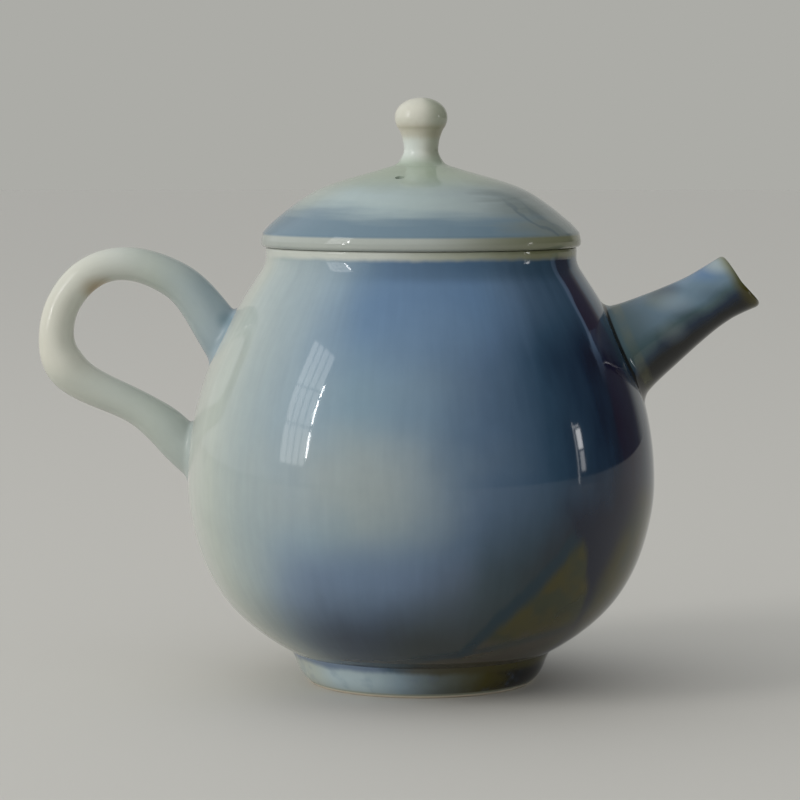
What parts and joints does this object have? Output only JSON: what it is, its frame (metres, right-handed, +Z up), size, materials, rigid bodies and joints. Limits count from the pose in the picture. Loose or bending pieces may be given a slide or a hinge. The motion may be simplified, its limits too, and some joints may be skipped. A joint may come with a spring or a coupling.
{
  "type": "teapot",
  "caption": "Round porcelain teapot on a turned foot, with a loop handle, a short tapered spout, and a domed lid with a ball knob that lifts off.",
  "frame": {"origin": "on the pot's axis, in the plane of the ring it stands on", "axes": "+Z up the pot's axis, +X towards the spout, -X towards the handle"},
  "size_m": [0.1854, 0.1204, 0.1505],
  "materials": {
    "body_glaze": "glossy cobalt and cream glaze that fades round the pot",
    "neck_glaze": "glossy cream glaze with blue pooled under it",
    "foot_glaze": "glossy pale blue glaze, bare on the ring that stands on the table",
    "inside_glaze": "glossy cream glaze inside the pot",
    "spout_glaze": "glossy pale to dark blue glaze, olive at the lip",
    "handle_glaze": "glossy cream glaze, bluish at the roots",
    "lid_glaze": "glossy pale blue-grey glaze with a darker band and a cream rim",
    "bare_porcelain": "matt bare fired clay",
    "knob_glaze": "glossy cream glaze"
  },
  "bodies": {
    "pot": {"pot_body": "body_glaze", "neck_collar": "neck_glaze", "foot_ring": "foot_glaze", "strainer": "inside_glaze", "spout": "spout_glaze", "handle": "handle_glaze"},
    "cover": {"lid": "lid_glaze", "lid_flange": "bare_porcelain", "knob": "knob_glaze"}
  },
  "joints": [
    {"name": "lid_lift", "type": "slide", "parent": "pot", "child": "cover", "axis": [0, 0, 1], "range_m": [0, 0.06]}
  ]
}
